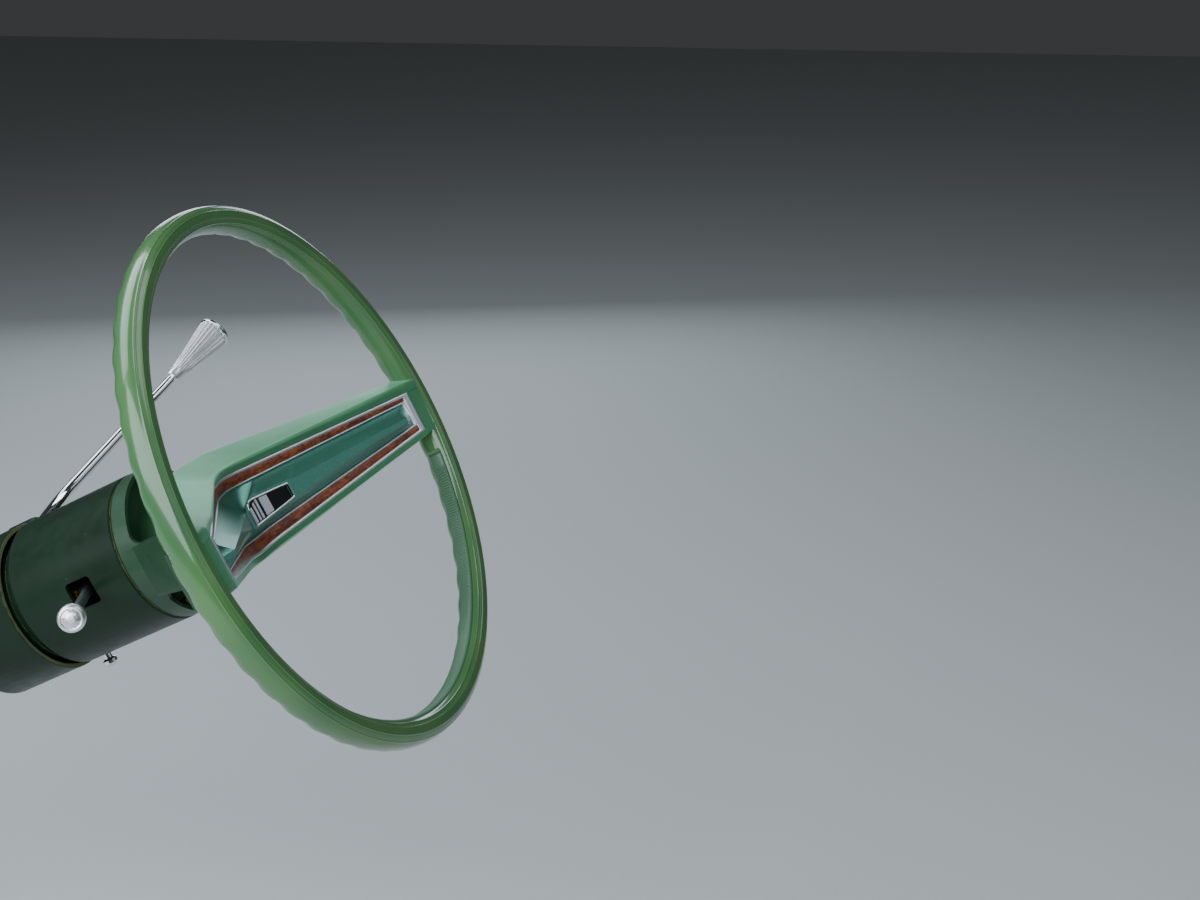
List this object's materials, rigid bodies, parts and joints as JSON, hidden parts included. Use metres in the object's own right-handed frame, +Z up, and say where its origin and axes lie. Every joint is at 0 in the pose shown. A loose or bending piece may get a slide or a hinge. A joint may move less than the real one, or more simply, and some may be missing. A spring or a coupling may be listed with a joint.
{
  "type": "steering column with wheel",
  "caption": "Tilted steering column of a family car with a dished two-spoke wheel, column shift lever, signal lever, dash bracket and floor plate.",
  "frame": {"origin": "middle of the four dash bolts, on the top face of the dash bracket's flange", "axes": "+X to the car's right, +Y forward along the car, +Z up; the column leans 27 degrees above level, back towards the driver"},
  "size_m": [0.4171, 0.9568, 0.6397],
  "materials": {
    "rim_plastic": "gloss moulded plastic",
    "strip_rubber": "ribbed rubber",
    "pad_vinyl": "soft padded vinyl",
    "bright_trim": "bright",
    "wood_trim": "satin burl",
    "panel_plastic": "satin metallic",
    "window_black": "gloss",
    "hub_plastic": "satin moulded plastic",
    "bare_steel": "machined",
    "brass_contact": "plain",
    "coupling_rubber": "corded rubber",
    "column_paint": "satin enamel",
    "switch_plastic": "plain moulded",
    "chrome_plate": "polished",
    "tube_steel": "phosphated",
    "bracket_paint": "black enamel",
    "seal_rubber": "moulded"
  },
  "bodies": {
    "column": {"upper_housing": "column_paint", "upper_bearing": "bare_steel", "signal_switch": "switch_plastic", "signal_contact": "brass_contact", "ignition_lock": "chrome_plate", "hazard_knob": "chrome_plate", "jacket_tube": "column_paint", "shift_bushings": "switch_plastic", "lower_bearing": "switch_plastic", "dash_bracket": "bracket_paint", "toe_plate": "bracket_paint", "toe_seal": "seal_rubber"},
    "wheel": {"rim": "rim_plastic", "horn_strip": "strip_rubber", "spoke_pad": "pad_vinyl", "trim_frame": "bright_trim", "wood_inserts": "wood_trim", "inner_bead": "bright_trim", "centre_panel": "panel_plastic", "emblem_bezel": "bright_trim", "emblem_window": "window_black", "emblem_bars": "bright_trim", "hub_moulding": "hub_plastic", "steel_hub": "bare_steel", "hub_nut": "bare_steel", "steering_shaft": "bare_steel", "coupling_disc": "coupling_rubber", "coupling_rivets": "bare_steel", "horn_contact": "brass_contact"},
    "shift": {"shift_bowl": "column_paint", "lever_pin": "bare_steel", "shift_lever": "chrome_plate", "shift_knob": "chrome_plate", "knob_cap": "chrome_plate", "shift_tube": "tube_steel", "shift_arm": "tube_steel"},
    "signal": {"signal_lever": "bare_steel", "signal_knob": "chrome_plate"}
  },
  "joints": [
    {"name": "wheel_turn", "type": "hinge", "parent": "column", "child": "wheel", "pos_m": [0, -0.35676, 0.11778], "axis": [0, -0.891, 0.454], "continuous": true},
    {"name": "shift_swing", "type": "hinge", "parent": "column", "child": "shift", "pos_m": [0, -0.12421, -0.00071], "axis": [0, -0.891, 0.454], "range_deg": [-45, 0]},
    {"name": "signal_tip", "type": "hinge", "parent": "column", "child": "signal", "pos_m": [-0.032, -0.19418, 0.03157], "axis": [0, -0.891, 0.454], "range_deg": [-12, 12]}
  ]
}
